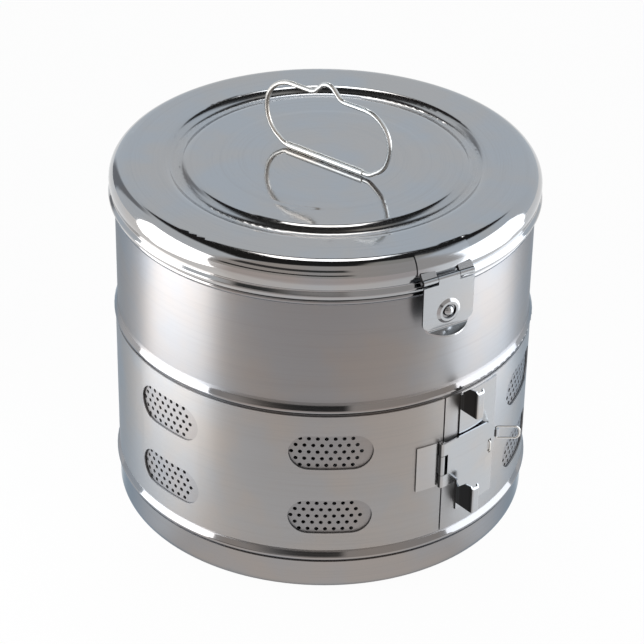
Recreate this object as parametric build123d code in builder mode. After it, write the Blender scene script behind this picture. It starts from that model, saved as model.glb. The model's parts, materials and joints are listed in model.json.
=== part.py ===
from build123d import *
import math
import os

os.makedirs("parts", exist_ok=True)

# Round sheet-steel drum for sterile dressings: a perforated wall under a turning shutter band,
# a hinged lid with a folding wire handle, a front hasp and a side clasp on the band.
# Millimetres. +Z is up, the base stands on Z = 0 and the hasp faces -Y.
# Azimuths are in degrees from -Y towards +X.

# Drum wall and base
wall_radius = 112.8
sheet = 0.8
base_height = 18.6
base_corner = 6.0
base_clearance = 0.3
wall_foot = 6.6
low_bead_height = 6.6
low_bead_proud = 3.2
low_bead_crest = 2.4
band_height = 84.4
band_end_clearance = 0.8
mid_bead_height = 7.4
mid_bead_proud = 2.2
mid_bead_crest = 2.2
upper_wall_height = 58.4
shoulder_height = 4.2
shoulder_proud = 2.4
neck_step = 1.8
neck_clearance = 0.4
rim_roll_radius = 1.5
bead_crest_fillet = 1.6
bead_foot_fillet = 0.8

# Steam holes, in groups under the band's windows
hole_radius = 1.1
hole_pitch = 4.6
hole_row_pitch = 4.1
hole_rows = (7, 8, 9, 8, 7)
group_count = 7
group_pitch_deg = 48.5
first_group_deg = -30.2
row_spacing = 40.7
rows_drop = 0.45

# Shutter band
band_clearance = 0.35
band_sheet = 0.8
window_length = 44.4
window_height = 21.0
window_lead_deg = 1.2
seam_deg = 2.6
seam_gap = 0.9

# Lid: radii from its mouth, heights from its lower edge, the sunk ring from the round edge
lid_edge_clearance = 0.2
lid_height = 19.2
lid_sheet = 0.8
lid_overhang = 2.5
lid_roll_proud = 1.0
lid_roll_rise = 2.2
lid_groove_sink = 0.9
lid_groove_rise = 4.4
lid_bulge_proud = 0.4
lid_bulge_rise = 8.7
lid_top_round = 9.0
lid_bulge_fillet = 8.0
lid_groove_fillet = 0.9
lid_roll_fillet = 1.2
ring_margin = 20.8
ring_slope = 3.9
ring_floor = 4.1
ring_depth = 2.8
ring_floor_fillet = 4.6
ring_edge_fillet = 8.0
disc_sink = 0.4
disc_step = 0.2
disc_step_slope = 2.6
disc_step_margin = 19.5

# Wire handle in a soldered tube, which lies a little off the lid's middle
handle_turn_deg = 20.6
handle_shift = 4.4
handle_shift_deg = -36.0
tube_length = 50.5
tube_radius = 2.0
wire_radius = 1.35
wire_slide = 1.0
handle_foot = 28.6
handle_flare_half = 37.2
handle_flare = 6.0
handle_half_width = 41.0
handle_side = 14.5
handle_shoulder = 36.8
handle_peak = 43.6
handle_peak_foot = 9.0
handle_peak_half = 2.4
handle_bends = (7.0, 16.0, 22.0, 17.0, 6.0, 5.0)

# Hinge at the back of the lid
hinge_width = 30.0
hinge_stand_off = 0.5
hinge_axis_rise = 2.6
hinge_knuckle_radius = 2.4
hinge_pin_radius = 1.2
hinge_strap = 1.2
hinge_body_drop = 26.0
hinge_joggle_low = 9.6
hinge_joggle_high = 4.0
hinge_lid_straight = 3.2
hinge_lid_wrap_deg = 26.0
hinge_bend = 1.5

# Clearances and allowances
pin_clearance = 0.06
pin_overhang = 0.6
knuckle_gap = 0.3
knuckle_room = 0.6
solder_gap = 0.03
overcut = 1.0

# Hasp on the front of the lid
hasp_width = 30.4
hasp_length = 27.6
hasp_sheet = 0.9
hasp_axis_rise = 6.4
hasp_knuckle_radius = 1.9
hasp_pin_radius = 0.9
hasp_centre_knuckle = 12.8
hasp_corner = 4.4
hasp_leaf_width = 32.4
hasp_leaf_wrap_deg = 66.0
hasp_web_height = 2.2
hasp_stand_off = 0.35
hasp_lip_width = 26.0
hasp_lip_reach = 6.0
hasp_lip_drop = 1.4
hasp_lip_root = 2.4
hasp_lip_slope = 2.4
hasp_lip_bend = 2.0
hasp_hole_radius = 4.2
hasp_collar_radius = 7.0
hasp_collar_bevel = 1.5
hasp_collar_height = 1.1
stud_drop = 19.0
stud_ball_radius = 3.2
stud_proud = 2.4
stud_stem_radius = 1.8
stud_washer_radius = 5.0
stud_washer_sheet = 0.8

# Clasp on the shutter band
clasp_lift = 2.4
clasp_leaf_height = 27.5
clasp_leaf_deg = 10.8
clasp_hinge_deg = 1.6
clasp_sheet = 0.8
clasp_knuckle_radius = 1.7
clasp_pin_radius = 0.8
clasp_centre_knuckle = 11.8
clasp_stand_off = 0.4
clasp_plate_length = 31.6
clasp_tongue_length = 37.6
clasp_tongue_low = -7.0
clasp_tongue_high = 9.0
clasp_tongue_step = 1.6
clasp_fixed_width_deg = 6.4
clasp_knuckle_room_deg = 0.9
clasp_tab_root_deg = 0.5
clasp_notch_room = 1.1
clasp_slot_width = 2.2
clasp_slot_height = 9.4
clasp_slot_reach = 34.0
clasp_slot_drop = 2.0
staple_wire_radius = 0.6
staple_span = 6.8
staple_rise = 1.1
staple_bend = 1.6
staple_foot_gap = 0.09

# Keeper plate and thumb lugs on the other end of the band
keeper_start_deg = 7.6
keeper_end_deg = 21.8
keeper_height = 73.0
keeper_lift = 2.0
keeper_sheet = 0.8
lug_deg = 8.2
lug_reach = 11.3
lug_flange = 5.2
lug_return = 2.2
lug_sheet = 0.8
lug_height = 16.6
lug_root_height = 11.2
lug_bend = 1.2
lug_slope_out = 5.0
lug_slope_drop = 0.9
lug_level_out = 9.6
lug_tip = 1.6
lug_tip_drop = 1.8
upper_lug_rise = 28.6
lower_lug_drop = 31.4

# Wire pull on the clasp leaf
pull_wire_radius = 0.6
pull_length = 12.5
pull_width = 7.2
pull_curl_height = 4.4
pull_curl_radius = 1.5
pull_curl_lift = 4.5
pull_deg = 58.2
pull_bend = 2.6
pull_root_bend = 1.1

# Heights up the drum, each from the piece below it
low_bead_z = base_height + 0.4
band_bottom = low_bead_z + low_bead_height + band_end_clearance
band_top = band_bottom + band_height
mid_bead_z = band_top + band_end_clearance
upper_wall_z = mid_bead_z + mid_bead_height
shoulder_z = upper_wall_z + upper_wall_height
neck_z = shoulder_z + shoulder_height
lid_edge_z = neck_z + lid_edge_clearance
lid_top_z = lid_edge_z + lid_height
lid_round_z = lid_top_z - lid_top_round
disc_edge_z = lid_top_z - disc_sink
disc_top = disc_edge_z + disc_step
band_middle = (band_bottom + band_top) / 2
row_heights = (
    band_middle - rows_drop - row_spacing / 2,
    band_middle - rows_drop + row_spacing / 2,
)
clasp_height = band_middle + clasp_lift

# Radii, each from the piece inside it
neck_radius = wall_radius - neck_step
lid_mouth_radius = wall_radius + lid_overhang
lid_roll_radius = lid_mouth_radius + lid_roll_proud
lid_groove_radius = lid_mouth_radius - lid_groove_sink
lid_bulge_radius = lid_mouth_radius + lid_bulge_proud
lid_bulge_z = lid_edge_z + lid_bulge_rise
lid_round_radius = lid_bulge_radius - lid_top_round
ring_outer_radius = lid_round_radius - ring_margin
ring_floor_outer = ring_outer_radius - ring_slope
ring_floor_inner = ring_floor_outer - ring_floor
ring_inner_radius = ring_floor_inner - ring_slope
disc_step_radius = ring_inner_radius - disc_step_margin

# The neck's rolled rim, clear of the round edge inside the lid
rim_out = neck_radius - rim_roll_radius
rim_room = lid_top_round - lid_sheet - neck_clearance - rim_roll_radius
rim_z = lid_round_z + math.sqrt(rim_room**2 - max(0, rim_out - lid_round_radius) ** 2)

band_inner = wall_radius + band_clearance
band_outer = band_inner + band_sheet
fixed_inner = band_outer + solder_gap
fixed_outer = fixed_inner + clasp_sheet
keeper_outer = fixed_inner + keeper_sheet


def outward(azimuth):
    turn = math.radians(azimuth)
    return Vector(math.sin(turn), -math.cos(turn), 0)


def along(azimuth):
    turn = math.radians(azimuth)
    return Vector(math.cos(turn), math.sin(turn), 0)


def facing(azimuth, distance):
    # Plane that looks out of the drum: local X to the right, local Y up
    return Plane(origin=outward(azimuth) * distance, x_dir=along(azimuth), z_dir=outward(azimuth))


def section(azimuth):
    # Half plane through the drum's axis: local X outwards, local Y up
    return Plane(origin=(0, 0, 0), x_dir=outward(azimuth), z_dir=-along(azimuth))


def curved_plate(start, end, inner, outer, bottom, top):
    # Part of a tube about the drum's axis
    with BuildPart() as plate:
        with BuildSketch(section(start)):
            with Locations(((inner + outer) / 2, (bottom + top) / 2)):
                Rectangle(outer - inner, top - bottom)
        revolve(axis=Axis.Z, revolution_arc=end - start)
    return plate.part


def save(part, name):
    part.label = name
    export_step(part, "parts/" + name + ".step")


# Drum wall: one rolled sheet with three beads, a neck inside the lid and a rolled rim
with BuildPart() as drum_wall:
    with BuildSketch(Plane.XZ):
        with BuildLine():
            FilletPolyline(
                (wall_radius, wall_foot),
                (wall_radius, low_bead_z),
                (wall_radius + low_bead_proud, low_bead_z + low_bead_crest),
                (wall_radius, low_bead_z + low_bead_height),
                (wall_radius, mid_bead_z),
                (wall_radius + mid_bead_proud, mid_bead_z + mid_bead_crest),
                (wall_radius, upper_wall_z),
                (wall_radius, shoulder_z),
                (wall_radius + shoulder_proud, shoulder_z + shoulder_height / 2),
                (neck_radius, neck_z),
                (neck_radius, rim_z),
                radius=[
                    bead_foot_fillet,
                    bead_crest_fillet,
                    bead_foot_fillet,
                    bead_foot_fillet,
                    bead_crest_fillet,
                    bead_foot_fillet,
                    bead_foot_fillet,
                    bead_crest_fillet,
                    bead_foot_fillet,
                ],
            )
            offset(amount=sheet, side=Side.LEFT, closed=True)
        make_face()
    revolve(axis=Axis.Z)
    with BuildSketch(Plane.XZ):
        with Locations((rim_out, rim_z)):
            Circle(rim_roll_radius)
    revolve(axis=Axis.Z)
    hole_places = []
    for group in range(group_count):
        for height in row_heights:
            for row, count in enumerate(hole_rows):
                rise = (row - (len(hole_rows) - 1) / 2) * hole_row_pitch
                for index in range(count):
                    side = (index - (count - 1) / 2) * hole_pitch
                    place = first_group_deg - group * group_pitch_deg
                    azimuth = place + math.degrees(side / wall_radius)
                    spot = facing(azimuth, wall_radius)
                    spot.origin = spot.origin + Vector(0, 0, height + rise)
                    hole_places.append(spot.location)
    with Locations(*hole_places):
        Cylinder(hole_radius, 4 * sheet, mode=Mode.SUBTRACT)
save(drum_wall.part, "drum_wall")

# Base pan: a drawn cup that the foot of the wall stands in
pan_radius = wall_radius + base_clearance + sheet
with BuildPart() as base_pan:
    with BuildSketch(Plane.XZ):
        with BuildLine():
            FilletPolyline(
                (0, 0),
                (pan_radius, 0),
                (pan_radius, base_height),
                radius=base_corner,
            )
            offset(amount=sheet, side=Side.LEFT, closed=True)
        make_face()
    revolve(axis=Axis.Z)
save(base_pan.part, "base_pan")

# Lid: a drawn cap with a sunk ring in its top and a rolled lower edge
with BuildPart() as lid_cap:
    with BuildSketch(Plane.XZ):
        with BuildLine():
            FilletPolyline(
                (0, disc_top),
                (disc_step_radius, disc_top),
                (disc_step_radius + disc_step_slope, disc_edge_z),
                (ring_inner_radius, disc_edge_z),
                (ring_floor_inner, lid_top_z - ring_depth),
                (ring_floor_outer, lid_top_z - ring_depth),
                (ring_outer_radius, lid_top_z),
                (lid_bulge_radius, lid_top_z),
                (lid_bulge_radius, lid_bulge_z),
                (lid_groove_radius, lid_edge_z + lid_groove_rise),
                (lid_roll_radius, lid_edge_z + lid_roll_rise),
                (lid_mouth_radius, lid_edge_z),
                radius=[
                    ring_edge_fillet,
                    ring_edge_fillet,
                    ring_edge_fillet,
                    ring_floor_fillet,
                    ring_floor_fillet,
                    ring_edge_fillet,
                    lid_top_round,
                    lid_bulge_fillet,
                    lid_groove_fillet,
                    lid_roll_fillet,
                ],
            )
            offset(amount=lid_sheet, side=Side.RIGHT, closed=True)
        make_face()
    revolve(axis=Axis.Z)
save(lid_cap.part, "lid_cap")

# Handle tube, soldered across the lid
handle_axis = Plane(
    origin=outward(handle_shift_deg) * handle_shift + Vector(0, 0, disc_top + tube_radius),
    x_dir=outward(handle_turn_deg),
    z_dir=-along(handle_turn_deg),
)
with BuildPart() as handle_tube:
    with BuildSketch(Plane(origin=handle_axis.origin, x_dir=(0, 0, 1), z_dir=handle_axis.x_dir)):
        Circle(tube_radius)
        Circle(wire_radius + pin_clearance, mode=Mode.SUBTRACT)
    extrude(amount=tube_length / 2, both=True)
save(handle_tube.part, "handle_tube")

# Handle wire: one closed loop whose straight run turns in the tube
handle_corners = [
    (handle_foot, 0),
    (handle_flare_half, handle_flare),
    (handle_half_width, handle_side),
    (handle_half_width, handle_shoulder),
    (handle_peak_foot, handle_shoulder),
    (handle_peak_half, handle_peak),
]
right_side = [(wire_slide + x, y) for x, y in handle_corners]
left_side = [(wire_slide - x, y) for x, y in reversed(handle_corners)]
with BuildPart() as handle_wire:
    with BuildLine(handle_axis) as handle_path:
        FilletPolyline(
            (0, 0),
            *right_side,
            *left_side,
            radius=[0, *handle_bends, *reversed(handle_bends)],
            close=True,
        )
    with BuildSketch(Plane(origin=handle_axis.origin, x_dir=(0, 0, 1), z_dir=handle_axis.x_dir)):
        Circle(wire_radius)
    sweep(path=handle_path.line)
save(handle_wire.part, "handle_wire")

# Lid hinge at the back: knuckles in turn on the two straps, on one pin
hinge_y = lid_roll_radius + hinge_stand_off + hinge_knuckle_radius
hinge_z = lid_edge_z + hinge_axis_rise
hinge_half_deg = math.degrees(hinge_width / 2 / hinge_y)
knuckle_length = hinge_width / 5
hinge_bore = hinge_pin_radius + pin_clearance
strap_inner = hinge_y - hinge_strap / 2
strap_seat = wall_radius + solder_gap
wrap_radius = lid_top_round + solder_gap
body_knuckles = [-2 * knuckle_length, 0, 2 * knuckle_length]
lid_knuckles = [-knuckle_length, knuckle_length]


def hinge_half(profile, wrap_deg, cut_knuckles):
    # A curved strap with its knuckles: the other strap's knuckles and the bore are cut out.
    # The lid's strap goes on over the lid's round edge by wrap_deg.
    with BuildPart() as half:
        with BuildSketch(section(180 - hinge_half_deg)):
            with BuildLine():
                FilletPolyline(*profile, radius=hinge_bend)
                if wrap_deg:
                    CenterArc((lid_round_radius, lid_round_z), wrap_radius, 0, wrap_deg)
                offset(amount=hinge_strap, side=Side.RIGHT, closed=True)
            make_face()
        revolve(axis=Axis.Z, revolution_arc=2 * hinge_half_deg)
        with Locations((0, hinge_y, hinge_z)):
            Cylinder(hinge_knuckle_radius, hinge_width, rotation=(0, 90, 0))
        with Locations(*[(x, hinge_y, hinge_z) for x in cut_knuckles]):
            Box(
                knuckle_length + knuckle_gap,
                2 * (hinge_knuckle_radius + knuckle_room),
                2 * (hinge_knuckle_radius + knuckle_room),
                mode=Mode.SUBTRACT,
            )
        with Locations((0, hinge_y, hinge_z)):
            Cylinder(
                hinge_bore,
                hinge_width + 2 * overcut,
                rotation=(0, 90, 0),
                mode=Mode.SUBTRACT,
            )
    return half.part


hinge_body_profile = [
    (strap_seat, hinge_z - hinge_body_drop),
    (strap_seat, hinge_z - hinge_joggle_low),
    (strap_inner, hinge_z - hinge_joggle_high),
    (strap_inner, hinge_z),
]
save(hinge_half(hinge_body_profile, 0, lid_knuckles), "hinge_body_strap")

hinge_lid_profile = [
    (strap_inner, hinge_z),
    (strap_inner, hinge_z + hinge_lid_straight),
    (lid_bulge_radius + solder_gap, lid_bulge_z),
    (lid_bulge_radius + solder_gap, lid_round_z),
]
save(hinge_half(hinge_lid_profile, hinge_lid_wrap_deg, body_knuckles), "hinge_lid_strap")

with BuildPart() as hinge_pin:
    with Locations((0, hinge_y, hinge_z)):
        Cylinder(hinge_pin_radius, hinge_width + 2 * pin_overhang, rotation=(0, 90, 0))
save(hinge_pin.part, "hinge_pin")

# Hasp: a leaf over the lid's round edge, a plate that hangs over the ball stud, and their pin.
# The leaf has the two side knuckles, the plate the one between them.
hasp_axis_z = lid_edge_z + hasp_axis_rise
hasp_axis_out = lid_bulge_radius + hasp_stand_off + hasp_knuckle_radius
hasp_outer = hasp_axis_out + hasp_knuckle_radius
hasp_inner = hasp_outer - hasp_sheet
hasp_bore = hasp_pin_radius + pin_clearance
hasp_leaf_inner = lid_bulge_radius + solder_gap
leaf_half_deg = math.degrees(hasp_leaf_width / 2 / lid_bulge_radius)
side_knuckle = (hasp_width - hasp_centre_knuckle) / 2 - knuckle_gap
side_knuckle_x = (hasp_width - side_knuckle) / 2
with BuildPart() as hasp_leaf:
    with BuildSketch(section(-leaf_half_deg)):
        with BuildLine():
            Line((hasp_leaf_inner, lid_bulge_z), (hasp_leaf_inner, lid_round_z))
            CenterArc((lid_round_radius, lid_round_z), wrap_radius, 0, hasp_leaf_wrap_deg)
            offset(amount=hasp_sheet, side=Side.RIGHT, closed=True)
        make_face()
    revolve(axis=Axis.Z, revolution_arc=2 * leaf_half_deg)
    for x in (-side_knuckle_x, side_knuckle_x):
        with Locations((x, -hasp_axis_out, hasp_axis_z)):
            Cylinder(hasp_knuckle_radius, side_knuckle, rotation=(0, 90, 0))
        with BuildSketch(Plane.YZ.offset(x)):
            with BuildLine():
                Polyline(
                    (-hasp_leaf_inner, lid_bulge_z),
                    (-hasp_leaf_inner - hasp_sheet / 2, lid_bulge_z + hasp_web_height),
                    (-hasp_outer, hasp_axis_z),
                    (-hasp_axis_out + hasp_knuckle_radius, hasp_axis_z),
                    close=True,
                )
            make_face()
        extrude(amount=side_knuckle / 2, both=True)
    with Locations((0, -hasp_axis_out, hasp_axis_z)):
        Cylinder(hasp_bore, hasp_width + 2 * overcut, rotation=(0, 90, 0), mode=Mode.SUBTRACT)
save(hasp_leaf.part, "hasp_leaf")

hasp_bottom = hasp_axis_z - hasp_length
stud_z = hasp_axis_z - stud_drop

# The plate's lip: bent outwards and down, with a round outline
lip_out = hasp_inner + hasp_lip_reach
lip_round = (hasp_lip_width**2 / 4 + hasp_lip_reach**2) / (2 * hasp_lip_reach)
with BuildPart() as hasp_lip:
    with BuildSketch(Plane.YZ):
        with BuildLine():
            FilletPolyline(
                (-hasp_inner, hasp_bottom + hasp_lip_root),
                (-hasp_inner, hasp_bottom - hasp_lip_drop),
                (-lip_out, hasp_bottom - hasp_lip_drop - hasp_lip_slope),
                radius=hasp_lip_bend,
            )
            offset(amount=hasp_sheet, side=Side.RIGHT, closed=True)
        make_face()
    extrude(amount=hasp_lip_width / 2, both=True)
    with Locations((0, lip_round - lip_out, hasp_bottom)):
        Cylinder(lip_round, hasp_length, mode=Mode.INTERSECT)

with BuildPart() as hasp_plate:
    with BuildSketch(Plane.XZ.offset(hasp_inner)) as hasp_blank:
        with Locations((0, (hasp_bottom + hasp_axis_z) / 2)):
            Rectangle(hasp_width, hasp_axis_z - hasp_bottom)
        fillet(hasp_blank.vertices().group_by(Axis.Y)[0], hasp_corner)
        with Locations((-side_knuckle_x, hasp_axis_z), (side_knuckle_x, hasp_axis_z)):
            Rectangle(
                side_knuckle + 2 * knuckle_gap,
                2 * (hasp_knuckle_radius + knuckle_room),
                mode=Mode.SUBTRACT,
            )
    extrude(amount=hasp_sheet)
    with Locations((0, -hasp_axis_out, hasp_axis_z)):
        Cylinder(hasp_knuckle_radius, hasp_centre_knuckle, rotation=(0, 90, 0))
    add(hasp_lip.part)
    with Locations((0, -hasp_outer, stud_z)):
        Cone(
            hasp_collar_radius,
            hasp_collar_radius - hasp_collar_bevel,
            hasp_collar_height,
            rotation=(90, 0, 0),
            align=(Align.CENTER, Align.CENTER, Align.MIN),
        )
    with Locations((0, -hasp_outer, stud_z)):
        Cylinder(
            hasp_hole_radius,
            2 * (hasp_collar_height + hasp_sheet + overcut),
            rotation=(90, 0, 0),
            mode=Mode.SUBTRACT,
        )
    with Locations((0, -hasp_axis_out, hasp_axis_z)):
        Cylinder(hasp_bore, hasp_width + 2 * overcut, rotation=(0, 90, 0), mode=Mode.SUBTRACT)
save(hasp_plate.part, "hasp_plate")

with BuildPart() as hasp_pin:
    with Locations((0, -hasp_axis_out, hasp_axis_z)):
        Cylinder(hasp_pin_radius, hasp_width + 2 * pin_overhang, rotation=(0, 90, 0))
save(hasp_pin.part, "hasp_pin")

# Ball stud on the wall, on its washer: the hasp's hole goes over its head
ball_out = hasp_outer + stud_proud - stud_ball_radius
with BuildPart() as stud_washer_ring:
    with BuildSketch(Plane(origin=(0, -wall_radius, stud_z), x_dir=(1, 0, 0), z_dir=(0, -1, 0))):
        Circle(stud_washer_radius)
        Circle(stud_stem_radius + pin_clearance, mode=Mode.SUBTRACT)
    extrude(amount=stud_washer_sheet)
save(stud_washer_ring.part, "stud_washer")

with BuildPart() as ball_stud:
    with BuildSketch(Plane(origin=(0, -wall_radius, stud_z), x_dir=(1, 0, 0), z_dir=(0, -1, 0))):
        Circle(stud_stem_radius)
    extrude(amount=ball_out - wall_radius)
    with Locations((0, -ball_out, stud_z)):
        Sphere(stud_ball_radius)
save(ball_stud.part, "ball_stud")

# Shutter band: an open ring that turns on the wall, with a window for each group of holes
seam_half = math.degrees(seam_gap / 2 / band_outer)
with BuildPart() as shutter_band:
    with BuildSketch(section(seam_deg + seam_half)):
        with Locations(((band_inner + band_outer) / 2, (band_bottom + band_top) / 2)):
            Rectangle(band_sheet, band_height)
    revolve(axis=Axis.Z, revolution_arc=360 - 2 * seam_half)
    for group in range(group_count):
        azimuth = first_group_deg + window_lead_deg - group * group_pitch_deg
        for height in row_heights:
            with BuildSketch(facing(azimuth, 0)):
                with Locations((0, height)):
                    SlotOverall(window_length, window_height)
            extrude(amount=band_outer + overcut, mode=Mode.SUBTRACT)
save(shutter_band.part, "shutter_band")

# Clasp hinge: a fixed leaf on one end of the band, and the pin
clasp_axis_radius = band_outer + clasp_stand_off + clasp_knuckle_radius
clasp_axis = outward(clasp_hinge_deg) * clasp_axis_radius
clasp_bottom = clasp_height - clasp_leaf_height / 2
clasp_top = clasp_height + clasp_leaf_height / 2
clasp_bore = clasp_pin_radius + pin_clearance
fixed_end = clasp_hinge_deg - clasp_knuckle_room_deg
with BuildPart() as clasp_fixed_leaf:
    add(
        curved_plate(
            fixed_end - clasp_fixed_width_deg,
            fixed_end,
            fixed_inner,
            fixed_outer,
            clasp_bottom,
            clasp_top,
        )
    )
    add(
        curved_plate(
            fixed_end - clasp_tab_root_deg,
            clasp_hinge_deg,
            fixed_inner,
            fixed_outer,
            clasp_height - clasp_centre_knuckle / 2,
            clasp_height + clasp_centre_knuckle / 2,
        )
    )
    with Locations((clasp_axis.X, clasp_axis.Y, clasp_height)):
        Cylinder(clasp_knuckle_radius, clasp_centre_knuckle)
        Cylinder(clasp_bore, clasp_centre_knuckle + 2 * overcut, mode=Mode.SUBTRACT)
save(clasp_fixed_leaf.part, "clasp_fixed_leaf")

with BuildPart() as clasp_pin:
    with Locations((clasp_axis.X, clasp_axis.Y, clasp_height)):
        Cylinder(clasp_pin_radius, clasp_leaf_height + 2 * pin_overhang)
save(clasp_pin.part, "clasp_pin")

# Clasp leaf: a flat plate over the seam, slotted for the staple, with a curl for the wire pull
leaf_turn = math.radians(clasp_leaf_deg - clasp_hinge_deg)
leaf_axis_x = -clasp_axis_radius * math.sin(leaf_turn)
leaf_axis_out = clasp_axis_radius * math.cos(leaf_turn)
leaf_outer = leaf_axis_out + clasp_knuckle_radius
leaf_inner = leaf_outer - clasp_sheet
leaf_mid = (leaf_inner + leaf_outer) / 2
slot_x = leaf_axis_x + clasp_slot_reach
slot_z = clasp_height - clasp_slot_drop
curl_x = leaf_axis_x + clasp_tongue_length + pull_curl_radius
curl_z = clasp_height + pull_curl_lift
curl_axis = outward(clasp_leaf_deg) * leaf_mid + along(clasp_leaf_deg) * curl_x
pull_bore = pull_wire_radius + pin_clearance
with BuildPart() as clasp_leaf:
    with BuildSketch(facing(clasp_leaf_deg, leaf_inner)):
        with BuildLine():
            Polyline(
                (leaf_axis_x, clasp_bottom),
                (leaf_axis_x + clasp_plate_length, clasp_bottom),
                (leaf_axis_x + clasp_plate_length, clasp_height + clasp_tongue_low - clasp_tongue_step),
                (leaf_axis_x + clasp_tongue_length, clasp_height + clasp_tongue_low),
                (leaf_axis_x + clasp_tongue_length, clasp_height + clasp_tongue_high),
                (leaf_axis_x + clasp_plate_length, clasp_top),
                (leaf_axis_x, clasp_top),
                close=True,
            )
        make_face()
        with Locations((slot_x, slot_z)):
            SlotOverall(clasp_slot_height, clasp_slot_width, rotation=90, mode=Mode.SUBTRACT)
        with Locations((leaf_axis_x, clasp_height)):
            Rectangle(
                2 * (clasp_knuckle_radius + clasp_notch_room),
                clasp_centre_knuckle + 2 * knuckle_gap,
                mode=Mode.SUBTRACT,
            )
    extrude(amount=clasp_sheet)
    end_knuckle = (clasp_leaf_height - clasp_centre_knuckle) / 2 - knuckle_gap
    with Locations(
        (clasp_axis.X, clasp_axis.Y, clasp_bottom + end_knuckle / 2),
        (clasp_axis.X, clasp_axis.Y, clasp_top - end_knuckle / 2),
    ):
        Cylinder(clasp_knuckle_radius, end_knuckle)
    with Locations((curl_axis.X, curl_axis.Y, curl_z)):
        Cylinder(pull_curl_radius, pull_curl_height)
    with BuildSketch(facing(clasp_leaf_deg, leaf_inner)):
        with Locations((curl_x - pull_curl_radius, curl_z)):
            Rectangle(2 * pull_curl_radius, pull_curl_height)
    extrude(amount=clasp_sheet)
    with Locations((curl_axis.X, curl_axis.Y, curl_z)):
        Cylinder(pull_bore, pull_curl_height + 2 * overcut, mode=Mode.SUBTRACT)
    with Locations((clasp_axis.X, clasp_axis.Y, clasp_height)):
        Cylinder(clasp_bore, clasp_leaf_height + 2 * overcut, mode=Mode.SUBTRACT)
save(clasp_leaf.part, "clasp_leaf")

# Wire pull: a small closed loop that swings in the leaf's curl
pull_plane = Plane(
    origin=(curl_axis.X, curl_axis.Y, curl_z),
    x_dir=outward(pull_deg),
    z_dir=-along(pull_deg),
)
with BuildPart() as wire_pull:
    with BuildLine(pull_plane) as pull_path:
        FilletPolyline(
            (0, 0),
            (0, pull_width / 2),
            (pull_length, pull_width / 2),
            (pull_length, -pull_width / 2),
            (0, -pull_width / 2),
            radius=[0, pull_root_bend, pull_bend, pull_bend, pull_root_bend],
            close=True,
        )
    with BuildSketch(Plane(origin=pull_plane.origin, x_dir=pull_plane.x_dir, z_dir=(0, 0, 1))):
        Circle(pull_wire_radius)
    sweep(path=pull_path.line)
save(wire_pull.part, "wire_pull")

# Keeper plate on the other end of the band, with the staple that passes through the slot
with BuildPart() as keeper_plate:
    add(
        curved_plate(
            keeper_start_deg,
            keeper_end_deg,
            fixed_inner,
            keeper_outer,
            clasp_height + keeper_lift - keeper_height / 2,
            clasp_height + keeper_lift + keeper_height / 2,
        )
    )
save(keeper_plate.part, "keeper_plate")

staple_root = math.sqrt(keeper_outer**2 - slot_x**2) + staple_foot_gap
staple_plane = Plane(
    origin=outward(clasp_leaf_deg) * staple_root + along(clasp_leaf_deg) * slot_x,
    x_dir=outward(clasp_leaf_deg),
    z_dir=-along(clasp_leaf_deg),
)
staple_reach = leaf_outer + staple_rise - staple_wire_radius - staple_root
with BuildPart() as clasp_staple:
    with BuildLine(staple_plane) as staple_path:
        FilletPolyline(
            (0, slot_z - staple_span / 2),
            (staple_reach, slot_z - staple_span / 2),
            (staple_reach, slot_z + staple_span / 2),
            (0, slot_z + staple_span / 2),
            radius=staple_bend,
        )
    with BuildSketch(
        Plane(
            origin=staple_plane.origin + Vector(0, 0, slot_z - staple_span / 2),
            x_dir=(0, 0, 1),
            z_dir=staple_plane.x_dir,
        )
    ):
        Circle(staple_wire_radius)
    sweep(path=staple_path.line)
save(clasp_staple.part, "clasp_staple")


# Thumb lugs: bent strips that stand out from the keeper, with a returned flange
def thumb_lug(bottom):
    lug_plane = Plane(
        origin=outward(lug_deg) * keeper_outer + Vector(0, 0, bottom),
        x_dir=along(lug_deg),
        z_dir=(0, 0, 1),
    )
    with BuildPart() as lug:
        with BuildSketch(lug_plane):
            with BuildLine():
                FilletPolyline(
                    (0, -solder_gap),
                    (0, -lug_reach),
                    (lug_flange, -lug_reach),
                    (lug_flange, -lug_reach + lug_return),
                    radius=lug_bend,
                )
                offset(amount=lug_sheet, side=Side.LEFT, closed=True)
            make_face()
        extrude(amount=lug_height)
        side_plane = Plane(origin=lug_plane.origin, x_dir=outward(lug_deg), z_dir=-along(lug_deg))
        with BuildSketch(side_plane):
            with BuildLine():
                Polyline(
                    (-overcut, lug_root_height),
                    (0, lug_root_height),
                    (lug_slope_out, lug_height - lug_slope_drop),
                    (lug_level_out, lug_height),
                    (lug_level_out, lug_height + overcut),
                    (-overcut, lug_height + overcut),
                    close=True,
                )
            make_face()
        extrude(amount=3 * lug_flange, both=True, mode=Mode.SUBTRACT)
        with BuildSketch(side_plane):
            with BuildLine():
                Polyline(
                    (lug_reach - lug_tip, lug_height + overcut),
                    (lug_reach - lug_tip, lug_height),
                    (lug_reach, lug_height - lug_tip_drop),
                    (lug_reach + overcut, lug_height - lug_tip_drop),
                    (lug_reach + overcut, lug_height + overcut),
                    close=True,
                )
            make_face()
        extrude(amount=3 * lug_flange, both=True, mode=Mode.SUBTRACT)
    return lug.part


save(thumb_lug(clasp_height + upper_lug_rise), "upper_lug")
save(thumb_lug(clasp_height - lower_lug_drop), "lower_lug")
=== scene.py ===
import json
from math import cos, pi, radians, sin

import bpy
from mathutils import Matrix, Vector


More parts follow.
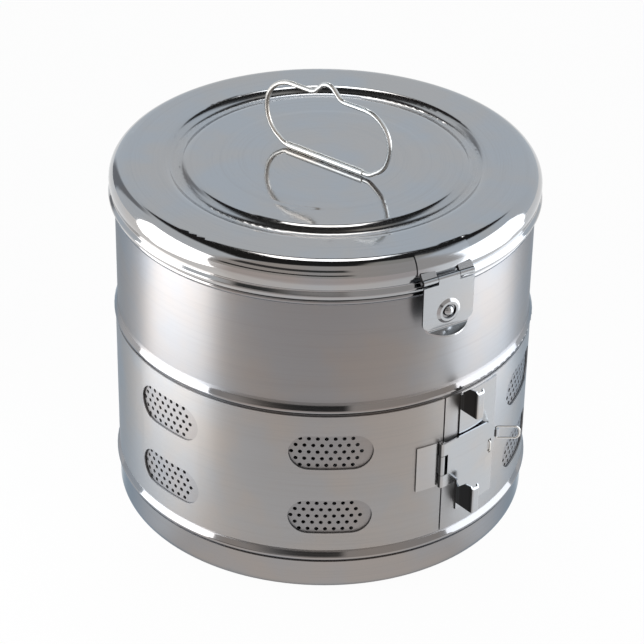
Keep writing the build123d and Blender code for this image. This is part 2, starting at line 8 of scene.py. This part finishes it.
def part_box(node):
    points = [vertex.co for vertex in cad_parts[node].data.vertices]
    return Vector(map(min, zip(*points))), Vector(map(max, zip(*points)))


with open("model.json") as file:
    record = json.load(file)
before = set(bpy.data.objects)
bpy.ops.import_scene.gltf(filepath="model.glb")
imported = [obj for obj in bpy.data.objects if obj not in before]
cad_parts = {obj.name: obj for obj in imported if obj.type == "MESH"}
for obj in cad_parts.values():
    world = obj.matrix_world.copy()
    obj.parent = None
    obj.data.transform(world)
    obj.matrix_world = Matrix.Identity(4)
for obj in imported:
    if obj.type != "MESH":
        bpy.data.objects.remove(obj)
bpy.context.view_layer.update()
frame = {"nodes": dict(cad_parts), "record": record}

# A sterilization drum in stainless sheet, seen from above and to the left of its hasp.
# Metres, in the CAD frame: +Z up, the hasp faces -Y. Angles are in degrees.

# Camera, as fitted to the photograph: where it stands round the point it aims at, then the small
# turns to its left, up and round its own line of sight
CAMERA_AZIMUTH = -31.8
CAMERA_ELEVATION = 31.1
CAMERA_DISTANCE = 1.38
CAMERA_AIM = Vector((0, 0, 0.110))
CAMERA_YAW = 0.02
CAMERA_PITCH = -0.41
CAMERA_ROLL = -1.07
CAMERA_LENS = 139.9
CAMERA_SENSOR = 36.0

# Surroundings that the steel mirrors. Each patch has its colour, then its span of azimuth from the
# camera's side and its span of height: from, to and softness of the edge.
SKY = (0.70, 0.75, 0.80, 1)
FRONT_ROOM = ((0.49, 0.46, 0.44, 1), (-60, 74, 8), (-95, 95, 1))
LOW_BAR = ((0.03, 0.03, 0.03, 1), (-54, 14, 3), (10.5, 19, 1.5))
HIGH_BAR = ((0.05, 0.05, 0.05, 1), (-54, 14, 3), (36, 50, 2))
REAR_PATCH = ((0.25, 0.26, 0.28, 1), (-150, -134, 3), (-20, 40, 4))

# Ceiling of the surroundings. Each patch has its colour, then its span to the camera's right and its
# span away from the camera, both as shares of the ceiling's height over the drum. Start and full are
# how steeply a ray has to rise for it to see the ceiling.
DARK_CEILING = ((0.02, 0.02, 0.02, 1), (-0.54, 0.58, 0.06), (-0.22, 1.16, 0.05))
WARM_PANEL = ((0.42, 0.40, 0.37, 1), (0.20, 0.58, 0.05), (-0.30, 0.12, 0.06))
SOFT_BOX = ((4.0, 4.0, 4.0, 1), (-0.13, 0.13, 0.02), (0.52, 0.98, 0.04))
CEILING_START = 0.3
CEILING_FULL = 0.5
LOWEST_RISE = 0.02

# Soft boxes that stand beside the drum, and the watts of a square metre of lamp with brightness 1
LAMP_AWAY = 0.30
LAMP_TOP = 0.34
LAMP_WATTS = 4

# White floor, its own light as a share of what is seen, and the warm grey card that lies on it in
# front of the drum, only for the steel to mirror
FLOOR_RADIUS = 7.0
FLOOR_SIDES = 96
FLOOR_WHITE = (0.93, 0.93, 0.93, 1)
FLOOR_ROUGH = 0.9
FLOOR_SHINE = 0.1
FLOOR_GLOW = 0.96
CARD_NEAR = (0.80, 0.77, 0.75, 1)
CARD_FAR = (0.62, 0.56, 0.54, 1)
CARD_CHANGE_START = 0.24
CARD_CHANGE_END = 0.38
CARD_SPREAD = 50.0
CARD_SOFT = 8

# Streaks of the turned sheet: waves per metre round the drum and across the streaks
FINE_STREAKS = (14.0, 1500.0)
WIDE_STREAKS = (9.0, 420.0)
FINE_SHARE = 0.65
STREAK_START = 0.45
STREAK_END = 0.75
STREAK_DARK = 0.90
STREAK_STRENGTH = 0.5

# Soft clouds that are a little warmer or cooler, and fine specks: waves per metre
CLOUD_WAVES = 22.0
CLOUD_START = 0.35
CLOUD_END = 0.65
CLOUD_TINT = 0.04
SPECK_WAVES = 900.0
SPECK_SHARE = 0.2

# Roughness between and on the streaks, as shares of the finish's own, and the height of the grain
ROUGH_LOW = 0.85
ROUGH_STREAK = 0.3
GRAIN_STRENGTH = 0.10
GRAIN_HEIGHT = 0.00006

# Brushing runs round the drum, so its reflections spread up and down: a quarter turn
BRUSH_TURN = 0.25

# Painted shade on the fittings: full on cut faces that look along the wall, and less on backs that
# look at it, standing in for their shadow and dark reflections. Start and full are how squarely a face
# has to look that way, from 0 to 1.
PAINTED_SHADE = (0.02, 0.02, 0.02, 1)
CUT_START = 0.62
CUT_FULL = 0.86
BACK_START = 0.5
BACK_FULL = 0.8
BACK_SHARE = 0.72

# The wall lies inside the base pan by the pan's sheet and its clearance
PAN_PROUD = 0.0011
WALL_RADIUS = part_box("base_pan")[1].x - PAN_PROUD

# Beads are polished from a little outside the wall
BEAD_START = WALL_RADIUS + 0.0003
BEAD_CHANGE = 0.0005
BEAD_ROUGH = 0.07

# Sunk ring of the lid, which is duller than the rest of it
RING_OUTER = WALL_RADIUS - 0.0273
RING_INNER = RING_OUTER - 0.0110
RING_SOFT = 0.0015
RING_ROUGH = 0.19

# Tint of the satin sheet where it is seen at a flat angle
SATIN_RIM = (0.42, 0.50, 0.58, 1)


class Graph:
    """Short calls that add nodes to one node tree and return their outputs."""

    def __init__(self, tree):
        self.tree = tree
        tree.nodes.clear()

    def node(self, kind, **settings):
        made = self.tree.nodes.new(kind)
        for name, value in settings.items():
            setattr(made, name, value)
        return made

    def put(self, socket, value):
        """Links an output to the socket, or sets the socket to a plain value."""
        if isinstance(value, bpy.types.NodeSocket):
            self.tree.links.new(value, socket)
        else:
            socket.default_value = value

    def math(self, operation, first, second=0.0, clamp=False):
        made = self.node("ShaderNodeMath", operation=operation, use_clamp=clamp)
        self.put(made.inputs[0], first)
        self.put(made.inputs[1], second)
        return made.outputs[0]

    def plus(self, first, second):
        return self.math("ADD", first, second)

    def minus(self, first, second):
        return self.math("SUBTRACT", first, second)

    def times(self, first, second):
        return self.math("MULTIPLY", first, second)

    def blend(self, factor, first, second):
        """Number that goes from first to second with factor."""
        made = self.node("ShaderNodeMix", data_type="FLOAT")
        self.put(made.inputs[0], factor)
        self.put(made.inputs[2], first)
        self.put(made.inputs[3], second)
        return made.outputs[0]

    def tint(self, factor, first, second):
        """Colour that goes from first to second with factor."""
        made = self.node("ShaderNodeMix", data_type="RGBA")
        self.put(made.inputs[0], factor)
        self.put(made.inputs[6], first)
        self.put(made.inputs[7], second)
        return made.outputs[2]

    def step(self, value, low, high):
        """0 below low, 1 above high, smooth between them."""
        made = self.node("ShaderNodeMapRange", interpolation_type="SMOOTHSTEP")
        self.put(made.inputs[0], value)
        made.inputs[1].default_value = low
        made.inputs[2].default_value = high
        return made.outputs[0]

    def window(self, value, low, high, soft):
        """1 between low and high, 0 outside, with soft edges."""
        rise = self.step(value, low - soft, low + soft)
        fall = self.step(value, high - soft, high + soft)
        return self.minus(rise, fall)

    def noise(self, vector, scale, detail, rough):
        made = self.node("ShaderNodeTexNoise")
        self.put(made.inputs["Vector"], vector)
        made.inputs["Scale"].default_value = scale
        made.inputs["Detail"].default_value = detail
        made.inputs["Roughness"].default_value = rough
        return made.outputs["Fac"]

    def combine(self, x, y, z):
        made = self.node("ShaderNodeCombineXYZ")
        for socket, value in zip(made.inputs, (x, y, z)):
            self.put(socket, value)
        return made.outputs[0]

    def split(self, vector):
        """The x, y and z of a vector."""
        made = self.node("ShaderNodeSeparateXYZ")
        self.put(made.inputs[0], vector)
        return made.outputs

    def coordinate(self, kind):
        """Object, Generated or Normal coordinates, as a vector."""
        return self.node("ShaderNodeTexCoord").outputs[kind]


def photo_camera():
    azimuth = radians(CAMERA_AZIMUTH)
    elevation = radians(CAMERA_ELEVATION)
    outward = Vector((sin(azimuth) * cos(elevation), -cos(azimuth) * cos(elevation), sin(elevation)))
    right = Vector((0, 0, 1)).cross(outward).normalized()
    up = outward.cross(right)
    level = Matrix((right, up, outward)).transposed()
    yaw = Matrix.Rotation(radians(CAMERA_YAW), 3, "Y")
    pitch = Matrix.Rotation(radians(CAMERA_PITCH), 3, "X")
    roll = Matrix.Rotation(radians(-CAMERA_ROLL), 3, "Z")
    axes = (level @ yaw @ pitch @ roll).to_4x4()
    data = bpy.data.cameras.new("camera")
    data.lens = CAMERA_LENS
    data.sensor_width = CAMERA_SENSOR
    camera = bpy.data.objects.new("camera", data)
    camera.matrix_world = Matrix.Translation(CAMERA_AIM + outward * CAMERA_DISTANCE) @ axes
    bpy.context.scene.collection.objects.link(camera)
    bpy.context.scene.camera = camera


def camera_directions(graph, vector):
    """Turns a vector so that -Y points at the camera, and gives its x, y and z."""
    turned = graph.node("ShaderNodeVectorRotate", rotation_type="Z_AXIS")
    graph.put(turned.inputs["Vector"], vector)
    graph.put(turned.inputs["Angle"], radians(-CAMERA_AZIMUTH))
    return graph.split(turned.outputs[0])


def camera_azimuth(graph, x, y):
    """Degrees round the drum from the camera's side, positive to the camera's right."""
    front = graph.times(y, -1.0)
    return graph.times(graph.math("ARCTAN2", x, front), 180 / pi)


def walls(graph, x, y, z):
    """Pale surroundings with a dim room on the camera's side, two dark bars across that room, and a
    grey patch behind the drum, to the camera's left."""
    azimuth = camera_azimuth(graph, x, y)
    height = graph.times(graph.math("ARCSINE", z), 180 / pi)
    color = SKY
    for patch, sideways, upward in (FRONT_ROOM, LOW_BAR, HIGH_BAR, REAR_PATCH):
        share = graph.times(graph.window(azimuth, *sideways), graph.window(height, *upward))
        color = graph.tint(share, color, patch)
    return color


def ceiling(graph, x, y, z, color):
    """Lays a dark ceiling with a warm panel and one bright soft box over the colour of the walls."""
    raised = graph.math("MAXIMUM", z, LOWEST_RISE)
    along = graph.math("DIVIDE", x, raised)
    behind = graph.math("DIVIDE", y, raised)
    overhead = graph.step(z, CEILING_START, CEILING_FULL)
    for patch, sideways, away in (DARK_CEILING, WARM_PANEL, SOFT_BOX):
        share = graph.times(graph.window(along, *sideways), graph.window(behind, *away))
        color = graph.tint(graph.times(share, overhead), color, patch)
    return color


def studio():
    """World of soft light, made of the walls and the ceiling that the steel mirrors."""
    bpy.context.scene.view_settings.view_transform = "Standard"
    world = bpy.data.worlds.new("studio")
    bpy.context.scene.world = world
    world.use_nodes = True
    graph = Graph(world.node_tree)
    x, y, z = camera_directions(graph, graph.coordinate("Generated"))
    color = ceiling(graph, x, y, z, walls(graph, x, y, z))
    background = graph.node("ShaderNodeBackground")
    graph.put(background.inputs["Color"], color)
    output = graph.node("ShaderNodeOutputWorld")
    graph.put(output.inputs[0], background.outputs[0])


def side_lamp(name, away, near, far, strength, color):
    """Soft box that stands upright beside the drum: its distance to the camera's right, its reach
    along the view and the brightness of its face."""
    data = bpy.data.lights.new(name, "AREA")
    data.shape = "RECTANGLE"
    data.size = far - near
    data.size_y = LAMP_TOP
    data.color = color
    data.energy = LAMP_WATTS * data.size * data.size_y * strength
    lamp = bpy.data.objects.new(name, data)
    turn = Matrix.Rotation(radians(CAMERA_AZIMUTH), 4, "Z")
    upright = Matrix.Rotation(pi / 2, 4, "X")
    facing = Matrix.Rotation(pi / 2 if away > 0 else -pi / 2, 4, "Z")
    place = Matrix.Translation((away, (near + far) / 2, LAMP_TOP / 2))
    lamp.matrix_world = turn @ place @ facing @ upright
    lamp.visible_camera = False
    bpy.context.scene.collection.objects.link(lamp)


def new_material(name):
    material = bpy.data.materials.new(name)
    material.use_nodes = True
    return material, Graph(material.node_tree)


def finish_material(graph, surface):
    output = graph.node("ShaderNodeOutputMaterial")
    graph.put(output.inputs[0], surface)


def floor_surface(graph):
    """White that shines of itself where it is seen, so that only a little of the drum's shadow is
    left on it. Rays from the steel see the card in front of the drum instead."""
    x, y, _ = camera_directions(graph, graph.coordinate("Object"))
    path = graph.node("ShaderNodeLightPath")
    sector = graph.window(camera_azimuth(graph, x, y), -CARD_SPREAD, CARD_SPREAD, CARD_SOFT)
    card = graph.times(sector, path.outputs["Is Glossy Ray"])
    far = graph.step(graph.times(y, -1.0), CARD_CHANGE_START, CARD_CHANGE_END)
    card_color = graph.tint(far, CARD_NEAR, CARD_FAR)
    matte = graph.node("ShaderNodeBsdfPrincipled")
    graph.put(matte.inputs["Base Color"], graph.tint(card, FLOOR_WHITE, card_color))
    matte.inputs["Roughness"].default_value = FLOOR_ROUGH
    matte.inputs["Specular IOR Level"].default_value = FLOOR_SHINE
    glow = graph.node("ShaderNodeEmission")
    graph.put(glow.inputs["Color"], graph.tint(card, (1, 1, 1, 1), card_color))
    seen = graph.plus(path.outputs["Is Camera Ray"], path.outputs["Is Glossy Ray"])
    seen = graph.math("ADD", seen, path.outputs["Is Transmission Ray"], clamp=True)
    mixed = graph.node("ShaderNodeMixShader")
    graph.put(mixed.inputs[0], graph.times(seen, FLOOR_GLOW))
    graph.put(mixed.inputs[1], matte.outputs[0])
    graph.put(mixed.inputs[2], glow.outputs[0])
    return mixed.outputs[0]


def floor():
    material, graph = new_material("floor")
    finish_material(graph, floor_surface(graph))
    bpy.ops.mesh.primitive_circle_add(vertices=FLOOR_SIDES, radius=FLOOR_RADIUS, fill_type="NGON")
    plane = bpy.context.object
    plane.name = "floor"
    plane.data.materials.append(material)


def streak_noise(graph, x, y, profile, waves, detail, rough):
    """Noise that is stretched round the drum."""
    round_waves, across_waves = waves
    lay = graph.combine(
        graph.times(x, round_waves), graph.times(y, round_waves), graph.times(profile, across_waves)
    )
    return graph.noise(lay, 1.0, detail, rough)


def streaks(graph, x, y, profile):
    """Fine streaks over wide ones."""
    fine = streak_noise(graph, x, y, profile, FINE_STREAKS, detail=3.0, rough=0.6)
    wide = streak_noise(graph, x, y, profile, WIDE_STREAKS, detail=2.0, rough=0.5)
    return graph.plus(graph.times(fine, FINE_SHARE), graph.times(wide, 1 - FINE_SHARE))


def sheet_color(graph, point, streak, color):
    """The sheet's colour, warmer and cooler in clouds and darker in its streaks."""
    red, green, blue = color
    cloud = graph.noise(point, CLOUD_WAVES, detail=3.0, rough=0.55)
    warm = (red * (1 + CLOUD_TINT), green, blue * (1 - CLOUD_TINT), 1)
    cool = (red * (1 - CLOUD_TINT), green, blue * (1 + CLOUD_TINT), 1)
    shade = graph.tint(graph.step(cloud, CLOUD_START, CLOUD_END), warm, cool)
    dark = (red * STREAK_DARK, green * STREAK_DARK, blue * STREAK_DARK, 1)
    streaked = graph.times(graph.step(streak, STREAK_START, STREAK_END), STREAK_STRENGTH)
    return graph.tint(streaked, shade, dark)


def painted_face_shade(graph, x, y, radius):
    """Mask of painted shade: 1 on cut faces that look along the wall, less on backs that look at it, 0
    on the other faces.
    """
    normal_x, normal_y, _ = graph.split(graph.coordinate("Normal"))
    crossed = graph.minus(graph.times(normal_y, x), graph.times(normal_x, y))
    along = graph.math("DIVIDE", crossed, radius)
    outward = graph.plus(graph.times(normal_x, x), graph.times(normal_y, y))
    inward = graph.math("DIVIDE", outward, graph.times(radius, -1.0))
    cut = graph.step(graph.math("ABSOLUTE", along), CUT_START, CUT_FULL)
    back = graph.times(graph.step(inward, BACK_START, BACK_FULL), BACK_SHARE)
    return graph.math("MAXIMUM", cut, back)


def grain(graph, point, streak):
    """Bump of the streaks with fine specks over them."""
    speck = graph.noise(point, SPECK_WAVES, detail=2.0, rough=0.6)
    height = graph.plus(graph.times(streak, 1 - SPECK_SHARE), graph.times(speck, SPECK_SHARE))
    bump = graph.node("ShaderNodeBump")
    bump.inputs["Strength"].default_value = GRAIN_STRENGTH
    bump.inputs["Distance"].default_value = GRAIN_HEIGHT
    graph.put(bump.inputs["Height"], height)
    return bump.outputs[0]


def brush(graph, shader, spread):
    """Spreads the reflections up and down the drum."""
    graph.put(shader.inputs["Anisotropic"], spread)
    shader.inputs["Anisotropic Rotation"].default_value = BRUSH_TURN
    tangent = graph.node("ShaderNodeTangent", direction_type="RADIAL", axis="Z")
    graph.put(shader.inputs["Tangent"], tangent.outputs[0])


def steel(name, color, rough, brushed=0.0, polish=None, ring=None, edges=0.0, rim=None):
    """Steel with turned streaks, clouds and grain. brushed is how far its reflections spread; polish
    is the radius from which it is bright, the width of the change and the roughness there; ring is
    a duller ring's inner and outer radius, soft edge and roughness; edges is how dark the painted
    shade on the cut faces and backs is; rim is the tint that it takes where it is seen at a flat
    angle."""
    material, graph = new_material(name)
    point = graph.coordinate("Object")
    x, y, z = graph.split(point)
    radius = graph.math("SQRT", graph.plus(graph.times(x, x), graph.times(y, y)))
    streak = streaks(graph, x, y, graph.minus(radius, z))
    shade = sheet_color(graph, point, streak, color)
    # Painted shade: darkens the cut faces and backs of the fittings, in place of their shadow and dark
    # reflections
    if edges:
        shade = graph.tint(graph.times(painted_face_shade(graph, x, y, radius), edges), shade, PAINTED_SHADE)
    roughness = graph.plus(rough * ROUGH_LOW, graph.times(streak, rough * ROUGH_STREAK))
    if ring:
        *span, dull = ring
        roughness = graph.blend(graph.window(radius, *span), roughness, dull)
    spread = brushed
    if polish:
        edge, change, smooth = polish
        crest = graph.step(radius, edge, edge + change)
        roughness = graph.blend(crest, roughness, smooth)
        spread = graph.blend(crest, brushed, 0.0)
    shader = graph.node("ShaderNodeBsdfPrincipled")
    graph.put(shader.inputs["Base Color"], shade)
    graph.put(shader.inputs["Roughness"], roughness)
    graph.put(shader.inputs["Normal"], grain(graph, point, streak))
    shader.inputs["Metallic"].default_value = 1.0
    if rim:
        shader.inputs["Specular Tint"].default_value = rim
    if brushed:
        brush(graph, shader, spread)
    finish_material(graph, shader.outputs[0])
    return material


def dress(node, material):
    """Gives one CAD node its material, and no other."""
    cad = frame["nodes"][node]
    cad.data.materials.clear()
    cad.data.materials.append(material)


photo_camera()
studio()
side_lamp("lamp_left", -LAMP_AWAY, near=-0.244, far=0.0, strength=2.2, color=(0.98, 0.985, 1.0))
side_lamp("lamp_right", LAMP_AWAY, near=-0.165, far=0.060, strength=1.6, color=(0.95, 0.97, 1.0))
floor()

finishes = {
    # Wall and base pan: satin sheet with polished beads
    "body_steel": steel(
        "body_steel",
        color=(0.38, 0.37, 0.37),
        rough=0.40,
        brushed=0.70,
        polish=(BEAD_START, BEAD_CHANGE, BEAD_ROUGH),
        rim=SATIN_RIM,
    ),
    # Shutter band: satin sheet, a little brighter than the wall
    "band_steel": steel(
        "band_steel", color=(0.45, 0.44, 0.435), rough=0.38, brushed=0.70, rim=SATIN_RIM
    ),
    # Lid: bright sheet with a duller sunk ring
    "lid_steel": steel(
        "lid_steel",
        color=(0.47, 0.47, 0.475),
        rough=0.08,
        ring=(RING_INNER, RING_OUTER, RING_SOFT, RING_ROUGH),
    ),
    # Hasp, clasp, keeper plate, lugs and hinge straps: stamped strip, with painted shade on cut faces
    # and backs
    "fitting_steel": steel("fitting_steel", color=(0.52, 0.52, 0.525), rough=0.16, edges=0.93),
    # Handle, its tube, the staple and the pull: pale drawn wire
    "wire_steel": steel("wire_steel", color=(0.80, 0.79, 0.76), rough=0.26),
    # Hinge pins, ball stud and its washer: polished turned steel
    "pin_steel": steel("pin_steel", color=(0.50, 0.50, 0.50), rough=0.10),
}
for part in frame["record"]["subparts"]:
    dress(part["node"], finishes[part["material_slot"]])
